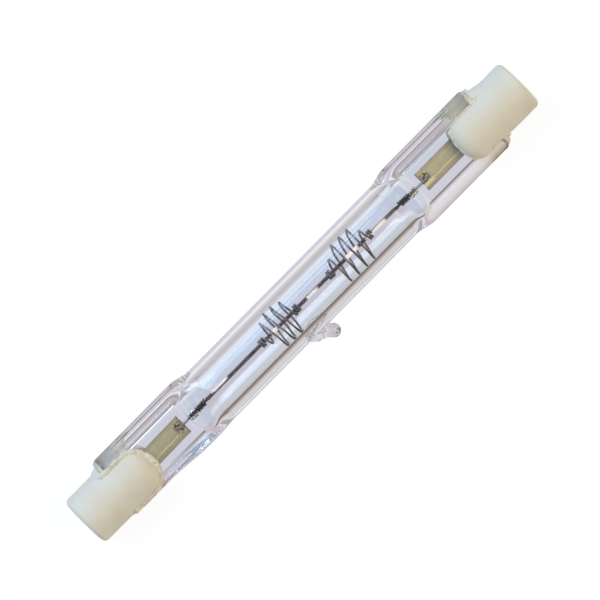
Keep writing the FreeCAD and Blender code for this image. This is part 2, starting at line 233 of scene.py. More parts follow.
class Shader:
    """The node tree of a material or world, and the methods that build it."""

    def __init__(self, owner):
        self.owner = owner
        owner.use_nodes = True
        self.tree = owner.node_tree
        self.tree.nodes.clear()

    def node(self, kind, settings=None, values=(), output=0):
        """Adds one node: its settings first, then the values or links of its sockets."""
        made = self.tree.nodes.new("ShaderNode" + kind)
        for key, value in (settings or {}).items():
            if key == "stops":
                ramp = made.color_ramp
                while len(ramp.elements) < len(value):
                    ramp.elements.new(1.0)
                for element, (place, colour) in zip(ramp.elements, value):
                    element.position = place
                    element.color = (*colour, 1.0)
            else:
                setattr(made, key, value)
        pairs = values.items() if isinstance(values, dict) else enumerate(values)
        for key, value in pairs:
            if isinstance(value, Socket):
                self.tree.links.new(value.output, made.inputs[key])
            else:
                plain = made.inputs[key]
                if plain.type == "RGBA" and len(value) == 3:
                    value = (*value, 1.0)
                plain.default_value = value
        return Socket(self, made.outputs[output])

    def light_path(self, name):
        """One of the Light Path node's outputs."""
        return self.node("LightPath", output=name)

    def place(self):
        """The place on the piece, in metres along the row's axes."""
        return self.node("TexCoord", output=3)

    def along(self, axis, place=None):
        """One coordinate of a place."""
        return self.node("SeparateXYZ", values=(place or self.place(),), output=axis)

    def stretched(self, factors, place=None):
        """The place with each axis scaled."""
        return self.node("VectorMath", {"operation": "MULTIPLY"}, (place or self.place(), factors))

    def grain(self, scale, detail, roughness=0.5, place=None):
        """Soft noise between 0 and 1."""
        values = {"Vector": place or self.place(), "Scale": scale, "Detail": detail, "Roughness": roughness}
        return self.node("TexNoise", values=values)

    def cells(self, scale):
        """Distance to the nearest of many scattered points."""
        return self.node("TexVoronoi", values={"Vector": self.place(), "Scale": scale})

    def blend(self, share, first, second):
        """A colour between two colours."""
        return self.node("Mix", {"data_type": "RGBA"}, {0: share, 6: first, 7: second}, output=2)

    def ramp(self, value, stops):
        """A colour ramp over a value."""
        return self.node("ValToRGB", {"stops": stops}, (value,))

    def relief(self, height, depth, strength):
        """A bumped normal from a height between 0 and 1, and its depth in metres."""
        return self.node("Bump", values={"Strength": strength, "Distance": depth, "Height": height})

    def principled(self, **values):
        """The main surface shader. Names use underscores for spaces."""
        named = {key.replace("_", " "): value for key, value in values.items()}
        return self.node("BsdfPrincipled", values=named)

    def finish(self, surface):
        """Links the last shader to the output."""
        kind = "World" if isinstance(self.owner, bpy.types.World) else "Material"
        output = self.tree.nodes.new("ShaderNodeOutput" + kind)
        self.tree.links.new(surface.output, output.inputs["Surface"])
        return self.owner


def distance(*parts):
    """The length of a vector from its parts."""
    total = parts[0] * parts[0]
    for part in parts[1:]:
        total = total + part * part
    return total.power(0.5)


def toned(colour, *factors):
    """A colour with its parts scaled, by one factor or by one for each, and held at full."""
    if len(factors) == 1:
        factors *= 3
    return tuple(min(1.0, part * factor) for part, factor in zip(colour, factors))


# Mesh helpers

def loft(bm, rings):
    """Joins rings of points into a closed skin with flat ends."""
    rows = [[bm.verts.new(point) for point in ring] for ring in rings]
    faces = []
    for row, after in zip(rows, rows[1:]):
        for k in range(len(row)):
            following = (k + 1) % len(row)
            faces.append(bm.faces.new((row[k], row[following], after[following], after[k])))
    faces.append(bm.faces.new(rows[0]))
    faces.append(bm.faces.new(rows[-1]))
    bmesh.ops.recalc_face_normals(bm, faces=faces)


def circle(centre, across, up, radius, sides):
    """A ring of points about a centre."""
    angles = [2 * math.pi * k / sides for k in range(sides)]
    return [centre + across * (radius * math.cos(a)) + up * (radius * math.sin(a)) for a in angles]


def wire(bm, points, radii, sides):
    """A round wire through points, with a radius for each."""
    rings = []
    up = None
    for i, point in enumerate(points):
        ahead = points[min(i + 1, len(points) - 1)] - points[max(i - 1, 0)]
        ahead.normalize()
        if up is None:
            up = ahead.orthogonal().normalized()
        up = (up - ahead * up.dot(ahead)).normalized()
        rings.append(circle(point, up, ahead.cross(up), radii[i], sides))
    loft(bm, rings)


def lathe(bm, profile, sides):
    """Turns (x, radius) points about the lamp's axis into a closed skin."""
    across, up = Vector((0, 1, 0)), Vector((0, 0, 1))
    loft(bm, [circle(Vector((x, 0, 0)), across, up, r, sides) for x, r in profile])


def rounded(corners, radius, steps=5):
    """A profile of (x, radius) points with its inner corners rounded."""
    points = [Vector(corners[0])]
    for before, corner, after in zip(corners, corners[1:], corners[2:]):
        corner, before, after = Vector(corner), Vector(before), Vector(after)
        to_before, to_after = before - corner, after - corner
        reach = min(radius, to_before.length * 0.45, to_after.length * 0.45)
        start = corner + to_before.normalized() * reach
        end = corner + to_after.normalized() * reach
        for i in range(steps + 1):
            t = i / steps
            points.append(start * (1 - t) ** 2 + corner * (2 * t * (1 - t)) + end * t**2)
    points.append(Vector(corners[-1]))
    return points


def block(bm, low, high):
    """A box between two corners."""
    made = bmesh.ops.create_cube(bm, size=1.0)
    low, high = Vector(low), Vector(high)
    for vert in made["verts"]:
        vert.co = Vector(((low[i] + high[i]) / 2 + vert.co[i] * (high[i] - low[i]) for i in range(3)))


def skin(name, bm):
    """An object from a mesh in the making."""
    mesh = bpy.data.meshes.new(name)
    bm.to_mesh(mesh)
    bm.free()
    made = bpy.data.objects.new(name, mesh)
    bpy.context.scene.collection.objects.link(made)
    return made


def shaped(name, maker, *values):
    """An object from one call of a mesh maker, such as loft or wire."""
    bm = bmesh.new()
    maker(bm, *values)
    return skin(name, bm)


def boolean(operation, other):
    """An exact boolean with another object, as a modifier with its settings."""
    return ("BOOLEAN", {"object": other, "operation": operation, "solver": "EXACT"})


def evened(voxel, passes):
    """The modifiers that give a piece an even mesh and then soften it."""
    return [
        ("REMESH", {"mode": "VOXEL", "voxel_size": voxel, "adaptivity": 0.0}),
        ("SMOOTH", {"factor": 0.5, "iterations": passes}),
    ]


def worked(made, modifiers):
    """Applies modifiers, each a type with its settings."""
    for kind, values in modifiers:
        modifier = made.modifiers.new(kind.title(), kind)
        for key, value in values.items():
            setattr(modifier, key, value)
    bpy.context.view_layer.update()
    before = made.data
    made.data = bpy.data.meshes.new_from_object(made.evaluated_get(bpy.context.evaluated_depsgraph_get()))
    made.modifiers.clear()
    bpy.data.meshes.remove(before)


def drop(*spent):
    """Removes objects that only helped to shape a piece."""
    for helper in spent:
        mesh = helper.data
        bpy.data.objects.remove(helper)
        bpy.data.meshes.remove(mesh)


def mirrored(made, sign):
    """Turns a shape of the right side into one of the left where the sign is negative."""
    if sign < 0:
        made.data.transform(Matrix.Scale(-1, 4, (1, 0, 0)))
        made.data.flip_normals()


def rest_roll(q):
    """How far the lamp rolls about its axis until the stub's end lies on the table."""
    return math.asin((q.tube_radius - q.stub_radius) / q.stub_reach)


def lay(made, name, material, slot, *nodes, sharp=35.0):
    """Turns a piece as the lamp rests, and gives it its name, finish and place in the frame."""
    made.data.transform(Matrix.Rotation(rest_roll(bpy.context.scene.lamp_quartz), 4, "X"))
    made.data.shade_smooth()
    made.data.set_sharp_from_angle(angle=math.radians(sharp))
    made.name = name
    made.data.name = name
    made.data.materials.clear()
    made.data.materials.append(material)
    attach(made, "root")
    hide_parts(*nodes)


def ease(t):
    """A soft rise from 0 to 1."""
    t = min(1.0, max(0.0, t))
    return t * t * (3 - 2 * t)


def lumps(point, scale, seed):
    """Soft noise between -1 and 1 at a place."""
    return noise.noise(point / scale + Vector((seed, 2 * seed, -seed)))


# Quartz

def pinch_outline(q, count):
    """Points round the pressed pinch: two thick rails and the thin web between them."""
    edge = 0.8 * MM
    side, top, web = q.pinch_half_width, q.rail_half_height, q.web_half_height
    quarter = [(side, 0.0)]
    for i in range(9):
        a = math.pi / 2 * i / 8
        quarter.append((side - edge + edge * math.cos(a), top - edge + edge * math.sin(a)))
    slope, lap = 0.95, 0.1 * MM
    for i in range(13):
        t = i / 12
        quarter.append((q.web_half_width + (1 - t) * slope * MM - lap, web + (top - web) * (1 - ease(t))))
    quarter.append((0.0, web))
    upper = quarter + [(-y, z) for y, z in reversed(quarter[:-1])]
    whole = upper + [(-y, -z) for y, z in upper[1:-1]]
    return spaced([Vector((y, z)) for y, z in whole], count)


def spaced(points, count):
    """Points at even steps along a closed line."""
    loop = points + points[:1]
    runs = [(b - a).length for a, b in zip(loop, loop[1:])]
    gap = sum(runs) / count
    out, at, i = [], 0.0, 0
    for k in range(count):
        target = k * gap
        while at + runs[i] < target:
            at += runs[i]
            i += 1
        out.append(loop[i].lerp(loop[i + 1], (target - at) / runs[i]))
    return out


def envelope_rings(q, side, count=192):
    """Rings of one half of the quartz's outside, from near the middle of the lamp to its end."""
    flat = pinch_outline(q, count)
    edge, chamfer, corner = 0.8 * MM, 0.9 * MM, 0.7 * MM
    full_z = []
    for p in flat:
        inside_edge = abs(p.x) < q.pinch_half_width - edge
        full_z.append(q.rail_half_height * math.copysign(1, p.y) if inside_edge else p.y)
    angles = [2 * math.pi * k / count for k in range(count)]
    tube = [Vector((math.cos(a), math.sin(a))) * q.tube_radius for a in angles]
    pinch_start = q.tube_end + q.shoulder
    end_run, nip_run = 1.0 * MM, 0.2 * MM
    press_lead, press_run = 0.5 * MM, 1.9 * MM
    trim_start, trim_run = 21.0 * MM, 6.5 * MM
    first, rest, last = 2.5 * MM, pinch_start + 1.6 * MM, q.pinch_end - end_run
    stations = [first + (q.tube_end - first) * i / 8 for i in range(8)]
    stations += [q.tube_end + (rest - q.tube_end) * i / 40 for i in range(41)]
    stations += [rest + (last - rest) * i / 10 for i in range(1, 11)]
    stations += [last + end_run * math.sin(math.pi / 2 * i / 12) for i in range(1, 13)]
    inner = q.web_half_width
    rail_width = q.pinch_half_width - inner
    rings = []
    for x in stations:
        share = ease((x - q.tube_end) / q.shoulder)
        pressed = ease((x - pinch_start + press_lead) / press_run)
        # The lower rail ends in a chamfer and the upper one in a round corner. The left lower
        # rail is narrower, and more so towards the cap.
        past_chamfer = max(0.0, x - (q.pinch_end - chamfer))
        past_corner = max(0.0, x - (q.pinch_end - corner))
        trim = (0.35 + 0.45 * ease((x - trim_start) / trim_run)) * MM if side < 0 else 0.0
        low = q.pinch_half_width - past_chamfer - trim
        high = q.pinch_half_width - corner + math.sqrt(max(0.0, corner**2 - past_corner**2))
        nip = 1 - 0.12 * ease((x - q.pinch_end + nip_run) / nip_run) ** 2
        ring = []
        for pinch_point, full, tube_point in zip(flat, full_z, tube):
            y, z = pinch_point.x, full + (pinch_point.y - full) * pressed
            if abs(y) > inner:
                limit = high if y > 0 else low
                y = math.copysign(inner + (abs(y) - inner) * (limit - inner) / rail_width, y)
            y = tube_point.x + (y - tube_point.x) * share
            z = (tube_point.y + (z - tube_point.y) * share) * nip
            ring.append(Vector((side * x, y, z)))
        rings.append(ring)
    return rings


def hollow_rings(q, side, count=96):
    """Rings of one half of the bore, with its squeezed end and the pocket round the lead's coil."""
    closing = q.shoulder + 0.5 * MM
    pocket_end = q.tube_end + q.shoulder + 1.1 * MM
    pocket_run = pocket_end - q.tube_end - closing
    widest, lowest, pocket_radius = 3.3 * MM, 0.1 * MM, 0.56 * MM
    stations = [i / 6 * q.tube_end for i in range(1, 6)]
    stations += [q.tube_end + closing * i / 28 for i in range(29)]
    stations += [q.tube_end + closing + pocket_run * i / 8 for i in range(1, 9)]
    rings = []
    for x in stations:
        t = min(1.0, max(0.0, (x - q.tube_end) / closing))
        spread = math.sin(math.pi / 2 * min(1.0, 1.25 * t)) ** 2
        shut = math.sin(math.pi / 2 * t) ** 1.3
        past = max(0.0, (x - q.tube_end - closing) / pocket_run)
        half_y = q.bore_radius + (widest - q.bore_radius) * spread - MM * t**5
        half_y *= math.sqrt(max(0.0, 1 - past))
        half_z = q.bore_radius + (lowest - q.bore_radius) * shut
        pocket = pocket_radius * math.sqrt(max(0.02, 1 - past**3))
        ring = []
        for k in range(count):
            a = 2 * math.pi * k / count
            y, z = half_y * math.cos(a), half_z * math.sin(a)
            reach = math.hypot(y, z)
            if reach < pocket:
                turn = a if reach < 1e-9 else math.atan2(z, y)
                y, z = pocket * math.cos(turn), pocket * math.sin(turn)
            ring.append(Vector((side * x, y, z)))
        rings.append(ring)
    return rings


def stub_line(q):
    """The middle of the exhaust stub's round end, and the direction of its axis."""
    end = Vector((STUB_SHIFT, -q.stub_reach, 0.0))
    ahead = Vector((math.sin(STUB_LEAN), -math.cos(STUB_LEAN), 0.0))
    return end, ahead


def stub_skin(q):
    """The stub, flared at its root and melted to an uneven end."""
    end, ahead = stub_line(q)
    up = Vector((0, 0, 1))
    across = ahead.cross(up)
    foot = (q.stub_reach - q.tube_radius) / math.cos(STUB_LEAN)
    root, steps = 1.6 * MM, 44
    flare_height, flare_run = 0.42 * MM, 0.9 * MM
    neck_depth, neck_place, neck_run = 0.04 * MM, 0.55 * MM, 0.28 * MM
    melt_start, melt_run = 1.1 * MM, 1.2 * MM
    rings = []
    for i in range(steps + 1):
        along = -foot - root + i / steps * (foot + root + 0.93 * q.stub_radius)
        flare = flare_height * max(0.0, 1 - max(0.0, along + foot) / flare_run) ** 2
        neck = neck_depth * math.exp(-((along + neck_place) / neck_run) ** 2)
        radius = q.stub_radius * 0.99 + flare - neck
        if along > 0:
            radius *= math.sqrt(max(0.03, 1 - (along / q.stub_radius) ** 2.3))
        centre = end + ahead * along
        ring = circle(centre, across, up, radius, 48)
        stub_end = ease((along + melt_start) / melt_run)
        for point in ring:
            wave = lumps(point, 0.55 * MM, 3.1) * 0.14 + lumps(point, 0.25 * MM, 8.4) * 0.06
            point -= (point - centre) * (max(0.0, 0.5 * wave + 0.06) * stub_end)
        rings.append(ring)
    return shaped("stub_shape", loft, rings)


def stub_hole(q):
    """The fine hole up the middle of the stub, open to the bore."""
    end, ahead = stub_line(q)
    points = [end + ahead * (d * MM) for d in (-4.3, -3.4, -2.7, -2.0, -1.5, -1.2, -1.05)]
    radii = [r * MM for r in (0.42, 0.42, 0.40, 0.36, 0.26, 0.14, 0.04)]
    return shaped("stub_hole_shape", wire, points, radii, 24)


def quartz_material(q):
    """Clear fused quartz with faint waves, that lets the lamps' light through to the wires; its tints hold
    painted shade and painted reflections.
    """
    s = Shader(bpy.data.materials.new("clear_quartz"))
    place = s.place()
    waves = s.grain(90.0, 1.0, 0.4, s.stretched((0.25, 1.0, 1.0), place))
    haze = s.grain(700.0, 4.0).step(0.62, 0.8)
    x, y, z = [s.along(axis, place) for axis in range(3)]
    outside = distance(y, z).step(3.0 * MM, 3.4 * MM)
    # The stub's melted end, tinted grey-blue as painted shade, with dark spots on its tip that are painted
    # shade.
    roll = rest_roll(q)
    x_off, y_off = x - STUB_SHIFT, y + q.stub_reach * math.cos(roll)
    z_off = z + q.stub_reach * math.sin(roll)
    stub_end = 1.0 - distance(x_off, y_off, z_off).step(1.05 * MM, 1.5 * MM)
    painted_tip_shade = (1.0 - y_off.step(-0.6 * MM, -0.3 * MM)) * s.grain(1300.0, 2.0).step(0.5, 0.56) * stub_end
    # The film of cement on the rails beside the caps, with a colour for each end of the lamp. Its tones are
    # painted: at the left a grey-blue painted shade, at the right a darker tan on the stub's side as painted
    # shade and a light cream on the other side as painted light.
    across = y * math.cos(roll) + z * math.sin(roll)
    smear = x.size().step(28.0 * MM, 30.5 * MM) * across.size().step(2.9 * MM, 3.2 * MM)
    right_smear_and_shade = s.blend(across.step(-MM, MM), (0.76, 0.69, 0.56), (0.96, 0.90, 0.80))
    smear_and_shade = s.blend(x.step(-MM, MM), (0.80, 0.80, 0.83), right_smear_and_shade)
    # Painted shade and painted reflection: a greyer tint for the outer wall, a blue one for the bore and
    # webs.
    tone = s.blend(outside, tuple(q.inside_reflection_tint), tuple(q.outside_shade_tint))
    # The cement film with its painted shade and painted light.
    tone = s.blend(smear, tone, smear_and_shade)
    # Painted shade on the stub's end, and dark painted shade spots on its tip.
    tone = s.blend(stub_end, tone, tuple(q.stub_shade_tint))
    tone = s.blend(painted_tip_shade, tone, (0.16, 0.10, 0.08))
    lumpy = s.grain(1500.0, 2.0, 0.5) * stub_end
    glass = s.principled(
        Base_Color=tone, Roughness=haze * 0.02 + smear * 0.3, IOR=1.458, Transmission_Weight=1.0,
        Normal=s.relief(waves * 0.25 + lumpy, 0.10 * MM, 0.5),
    )
    clear = s.node("BsdfTransparent", values=((0.93, 0.935, 0.97),))
    # Light that bounces on inside the glass is given this tone, where the render would end it as black.
    caught = s.node("Emission", values=((0.46, 0.43, 0.46), 1.0))
    bounced = s.light_path("Glossy Depth").step(3.4, 3.6) + s.light_path("Ray Depth").step(10.4, 10.6)
    solid = s.node("MixShader", values=(bounced.clamped(), glass, caught))
    shadow = s.light_path("Is Shadow Ray")
    return s.finish(s.node("MixShader", values=(shadow, solid, clear)))


class LAMP_OT_quartz(bpy.types.Operator):
    """Builds the quartz tube with both pinch seals and the exhaust stub."""

    bl_idname = "lamp.quartz"
    bl_label = "Quartz Envelope"

    def execute(self, context):
        q = context.scene.lamp_quartz
        outside = shaped("quartz_shape", loft, envelope_rings(q, -1)[::-1] + envelope_rings(q, 1))
        hollow = shaped("hollow_shape", loft, hollow_rings(q, -1)[::-1] + hollow_rings(q, 1))
        stub, hole = stub_skin(q), stub_hole(q)
        worked(hollow, [boolean("UNION", hole)])
        worked(outside, [boolean("UNION", stub)])
        worked(outside, [boolean("DIFFERENCE", hollow)])
        drop(stub, hole, hollow)
        lay(outside, "quartz", quartz_material(q), "quartz", "quartz_envelope")
        return {"FINISHED"}


# Wires and foils

def winding(low_x, stages, radius):
    """Points of a wire wound about X. Each stage is (turns, end radius, pitch, end tilt), and the
    wire passes -Y at low_x when the first two stages are done."""
    tilt, per_turn = 0.0, 36
    x = low_x - sum(turns * pitch for turns, _, pitch, _ in stages[:2])
    angle = math.pi - 2 * math.pi * sum(turns for turns, _, _, _ in stages[:2])
    points = []
    for turns, end_radius, pitch, end_tilt in stages:
        steps = max(1, round(turns * per_turn))
        for i in range(steps):
            t = i / steps
            r = radius + (end_radius - radius) * ease(t)
            lean = tilt + (end_tilt - tilt) * ease(t)
            a = angle + 2 * math.pi * turns * t
            along = x + pitch * turns * t + lean * math.cos(a)
            points.append(Vector((along, r * math.cos(a), r * math.sin(a))))
        x += pitch * turns
        angle += 2 * math.pi * turns
        radius, tilt = end_radius, end_tilt
    return points


def tungsten_material(name, colour, scale, painted_highlights=()):
    """Drawn tungsten: dark, with a faint blue-brown bloom, fine drawing lines and painted highlights,
    stretches painted cream and made to glow faintly. Each stretch has its ends along X in mm, and the sign of
    the Y side that is painted bright, or 0 for both."""
    s = Shader(bpy.data.materials.new(name))
    bloom = s.grain(600.0 * scale, 3.0)
    lines = s.grain(2600.0, 2.0, place=s.stretched((0.3, 1.0, 1.0)))
    base = s.blend(bloom.step(0.35, 0.7), toned(colour, 0.6), toned(colour, 1.7, 1.45, 1.2))
    x, metal, painted_glow, fade = s.along(0), 0.9, 0.0, 0.4
    for start, end, side in painted_highlights:
        # Painted highlight: a cream colour, less metal and a faint glow.
        share = x.between(start * MM, (start + fade) * MM, (end - fade) * MM, end * MM)
        share = share * (s.along(1) * side).step(-0.12 * MM, -0.02 * MM)
        base = s.blend(share, base, (1.0, 0.93, 0.86))
        metal = metal * (1.0 - share)
        painted_glow = painted_glow + share
    shader = s.principled(
        Emission_Color=s.blend(painted_glow, (0.0, 0.0, 0.0), (0.34, 0.27, 0.22)), Emission_Strength=1.0,
        Base_Color=base, Metallic=metal, Roughness=lines * 0.25 + 0.22, Normal=s.relief(lines, 0.01 * MM, 0.4)
    )
    return s.finish(shader)


# The filament's painted highlights, as tungsten_material takes them.
PAINTED_HIGHLIGHTS = ((-16.6, -13.2, 1), (-5.7, -4.3, 0), (0.6, 2.9, -1), (7.6, 10.2, 0), (11.2, 15.2, -1))


class LAMP_OT_filament(bpy.types.Operator):
    """Winds the filament down the middle of the tube."""

    bl_idname = "lamp.filament"
    bl_label = "Filament"

    def execute(self, context):
        w = context.scene.lamp_wires
        radius = w.filament_radius - w.filament_wire
        start = -w.filament_end + w.filament_wire
        turns = 2 * -start / w.filament_pitch
        per_turn = 14
        count = int(turns * per_turn)
        points = []
        for i in range(count + 1):
            a = 2 * math.pi * turns * i / count
            x = start + w.filament_pitch * turns * i / count
            points.append(Vector((x, radius * math.cos(a), radius * math.sin(a))))
        coil = shaped("filament_shape", wire, points, [w.filament_wire] * len(points), 6)
        finish = tungsten_material("filament_tungsten", w.tungsten_colour, 1.0, PAINTED_HIGHLIGHTS)
        lay(coil, "filament_coil", finish, "tungsten", "filament")
        return {"FINISHED"}


class LAMP_OT_spirals(bpy.types.Operator):
    """Winds the two wire spirals that keep the filament off the wall."""

    bl_idname = "lamp.spirals"
    bl_label = "Support Spirals"

    def execute(self, context):
        w, q = context.scene.lamp_wires, context.scene.lamp_quartz
        finish = tungsten_material("spiral_tungsten", w.spiral_colour, 0.7)
        filament_gap, wall_gap, turn_gap = 0.08 * MM, 0.06 * MM, 0.05 * MM
        grip = w.filament_radius + w.spiral_wire + filament_gap
        wall = q.bore_radius - w.spiral_wire - wall_gap
        tight = 2 * w.spiral_wire + turn_gap
        # Where each spiral passes -Y, its pitch, the turns that open it, its full turns and its tilt.
        kinds = {
            "left": (-5.0 * MM, 1.22 * MM, 1.5, 2.25, -0.11 * MM),
            "right": (6.7 * MM, 1.37 * MM, 1.0, 3.0, 0.3 * MM),
        }
        for seed, (side, (low_x, pitch, spread, turns, tilt)) in enumerate(kinds.items()):
            stages = [
                (2.0, grip, tight, 0.0), (spread, wall, pitch, tilt), (turns, wall, pitch, tilt),
                (0.75, grip, pitch, 0.0), (2.0, grip, tight, 0.0),
            ]
            points = winding(low_x, stages, grip)
            for point in points:
                reach = (math.hypot(point.y, point.z) - grip) / (wall - grip)
                point.x += lumps(point, 2.2 * MM, seed + 5.0) * 0.12 * MM * max(0.0, reach)
            radii = [w.spiral_wire] * len(points)
            radii[0] = radii[-1] = 0.7 * w.spiral_wire
            spiral = shaped("spiral_shape", wire, points, radii, 12)
            lay(spiral, "spiral_" + side, finish, "tungsten", "support_spiral_" + side)
        return {"FINISHED"}


def lead_material(w):
    """Molybdenum wire, darkened where it was welded to the foil."""
    s = Shader(bpy.data.materials.new("lead_molybdenum"))
    x = s.along(0).size()
    heat = x.between(21.4 * MM, 21.9 * MM, 22.6 * MM, 22.9 * MM)
    spots = s.grain(1500.0, 2.0).step(0.42, 0.6)
    lines = s.grain(2400.0, 2.0, place=s.stretched((0.2, 1.0, 1.0)))
    base = s.blend(heat * spots, (0.42, 0.37, 0.34), (0.045, 0.03, 0.022))
    base = s.blend(1.0 - x.step(20.3 * MM, 20.6 * MM), base, tuple(w.coil_colour))
    return s.finish(s.principled(Base_Color=base, Metallic=0.85, Roughness=lines * 0.2 + 0.25))


def inner_lead(w, sign):
    """A lead from the filament into the pinch, flattened where it is welded to the foil."""
    stops = [(15.95, 0.85), (16.1, 1.0), (20.9, 1.0), (21.4, 1.02), (21.7, 0.95), (22.6, 0.9), (22.75, 0.5)]
    points = [Vector((sign * x * MM, 0, 0)) for x, _ in stops]
    radii = [w.lead_radius * share for _, share in stops]
    bm = bmesh.new()
    wire(bm, points, radii, 16)
    flat, weld_start, weld_run = 0.6 * w.lead_radius, 21.3 * MM, 0.4 * MM
    for vert in bm.verts:
        press = ease((abs(vert.co.x) - weld_start) / weld_run)
        vert.co.y *= 1 + 0.25 * press
        if press:
            vert.co.z = max(vert.co.z, -flat - 0.07 * MM * (1 - press))
    return skin("lead_shape", bm)


def lead_coil(w, sign):
    """Close, slightly uneven turns that clamp the filament to its lead."""
    radius = w.lead_radius + w.coil_wire + 0.015 * MM
    coil_end, coil_length, turns, per_turn = 20.2 * MM, 3.3 * MM, 9, 30
    pitch = (coil_length - 2 * w.coil_wire) / turns
    count = turns * per_turn
    points, radii = [], []
    for i in range(count + 1):
        a = 2 * math.pi * turns * i / count
        x = coil_end - w.coil_wire - pitch * turns * i / count
        wobble = 1 + 0.22 * (0.5 + 0.5 * lumps(Vector((x * sign, 0, 0)), 0.4 * MM, 2.0))
        x += 0.07 * MM * lumps(Vector((x, a * 0.1 * MM, 0)), 0.5 * MM, 7.0)
        points.append(Vector((sign * x, radius * wobble * math.cos(a), radius * wobble * math.sin(a))))
        radii.append(w.coil_wire * (1 + 0.08 * lumps(Vector((x, 0, a * MM)), 0.3 * MM, 1.0)))
    return shaped("coil_shape", wire, points, radii, 10)


def outer_lead(sign):
    """A straight lead from the foil to the contact."""
    points = [Vector((sign * x * MM, 0, 0.125 * MM)) for x in (27.95, 28.1, 34.85, 34.95)]
    return shaped("outer_shape", wire, points, [r * MM for r in (0.2, 0.3, 0.3, 0.22)], 20)


class LAMP_OT_leads(bpy.types.Operator):
    """Makes the inner leads, their coils, and the outer leads."""

    bl_idname = "lamp.leads"
    bl_label = "Leads and Coils"

    def execute(self, context):
        w = context.scene.lamp_wires
        metal = lead_material(w)
        dark = tungsten_material("coil_tungsten", w.coil_colour, 1.4)
        for side, sign in SIDES:
            lay(inner_lead(w, sign), "inner_lead_wire_" + side, metal, "molybdenum", "inner_lead_" + side)
            lay(lead_coil(w, sign), "lead_coil_wire_" + side, dark, "tungsten", "lead_coil_" + side)
            lay(outer_lead(sign), "outer_lead_wire_" + side, metal, "molybdenum", "outer_lead_" + side)
        return {"FINISHED"}


def foil_material(w):
    """Thin rolled molybdenum: olive grey, with rolling lines, painted light and shade in bands across it with
    a painted highlight along the crease, dark weld spots, and a painted glint beside the right foil's weld.
    """
    s = Shader(bpy.data.materials.new("foil_molybdenum"))
    place = s.node("UVMap")
    along, across = s.along(0, place), s.along(1, place)
    lines = s.grain(30.0, 4.0, 0.6, s.stretched((0.4, 6.0, 1.0), place))
    stain = s.grain(7.0, 3.0, 0.6, s.stretched((3.0, 1.0, 1.0), place))
    olive = tuple(w.foil_colour)
    # Painted light and shade across the foil: a painted highlight along the crease, and lighter and darker
    # bands across the rest.
    light_and_shade_bands = s.ramp(across, [
        (0.0, toned(olive, 0.95)), (0.24, toned(olive, 1.1)), (0.29, toned(olive, 1.7)), (0.34, olive),
        (0.75, toned(olive, 1.15)), (1.0, toned(olive, 0.8)),
    ])
    base = s.blend(stain.step(0.35, 0.75) * 0.3, light_and_shade_bands, (0.30, 0.26, 0.20))
    weld = (1.0 - along.step(0.12, 0.2)) * (1.0 - (across - 0.52).size().step(0.2, 0.32))
    spots = s.grain(7.0, 3.0, 0.6, s.stretched((2.8, 1.0, 1.0), place))
    base = s.blend(weld * spots.step(0.46, 0.54), base, (0.07, 0.05, 0.045))
    base = s.blend(weld * (1.0 - spots.step(0.36, 0.42)), base, (0.95, 0.90, 0.85))
    base = s.blend((1.0 - along.step(0.01, 0.03)) * 0.6, base, (0.16, 0.12, 0.08))
    # A painted glint: the crease is painted bright beside the weld of the right foil.
    right = s.along(0).step(-MM, MM)
    painted_glint = across.between(0.16, 0.2, 0.34, 0.38) * (1.0 - along.step(0.16, 0.24)) * right
    base = s.blend(painted_glint, base, (1.0, 0.94, 0.72))
    shader = s.principled(
        Base_Color=base, Metallic=0.75, Roughness=lines * 0.3 + 0.3, Normal=s.relief(lines, 0.01 * MM, 0.5)
    )
    return s.finish(shader)


def foil_skin(w, sign):
    """A foil with a crease along it and thin edges, mapped from its inner end and its -Y side."""
    long_steps, cross_steps = 36, 30
    level, crease, crease_depth, thin_edge = -0.16 * MM, 0.6 * MM, 0.08 * MM, 0.2 * MM
    slant = 0.02 if sign < 0 else 0.0
    bm = bmesh.new()
    layer = bm.loops.layers.uv.new("UVMap")
    rows, places = [], {}
    for face in (1, -1):
        for i in range(long_steps + 1):
            row = []
            for j in range(cross_steps + 1):
                u, v = i / long_steps, j / cross_steps
                x = w.foil_start + (w.foil_end - w.foil_start) * u
                y = (2 * v - 1) * w.foil_half_width
                edge = min(1.0, (w.foil_half_width - abs(y)) / thin_edge)
                dip = crease_depth * max(0.0, (-crease - y) / (w.foil_half_width - crease))
                sag = lumps(Vector((x * sign, y * 2, 0)), 1.6 * MM, 4.0) * 0.02 * MM
                z = level - dip + sag + face * (0.002 + 0.013 * edge) * MM
                x += 0.05 * MM * lumps(Vector((0, y, sign * MM)), 0.4 * MM, 6.0) * (1 - u)
                vert = bm.verts.new((sign * x, y - slant * (x - w.foil_start), z))
                places[vert] = (u, v)
                row.append(vert)
            rows.append(row)
    half = long_steps + 1
    faces = []
    for side_rows in (rows[:half], rows[half:]):
        for a, b in zip(side_rows, side_rows[1:]):
            for j in range(cross_steps):
                faces.append(bm.faces.new((a[j], a[j + 1], b[j + 1], b[j])))
    for line, below in zip(outline_of(rows[:half]), outline_of(rows[half:])):
        for k in range(len(line) - 1):
            faces.append(bm.faces.new((line[k], line[k + 1], below[k + 1], below[k])))
    bmesh.ops.recalc_face_normals(bm, faces=faces)
    for face in bm.faces:
        for corner in face.loops:
            corner[layer].uv = places[corner.vert]
    return skin("foil_shape", bm)


def outline_of(rows):
    """The four edges of a grid of points: both sides, then both ends."""
    return [[row[0] for row in rows], [row[-1] for row in rows], rows[0], rows[-1]]


class LAMP_OT_foils(bpy.types.Operator):
    """Lays the thin sealing foils in the webs of the pinches."""

    bl_idname = "lamp.foils"
    bl_label = "Sealing Foils"

    def execute(self, context):
        w = context.scene.lamp_wires
        metal = foil_material(w)
        for side, sign in SIDES:
            lay(foil_skin(w, sign), "foil_" + side, metal, "molybdenum", "seal_foil_" + side)
        return {"FINISHED"}


# Caps, cement and contacts

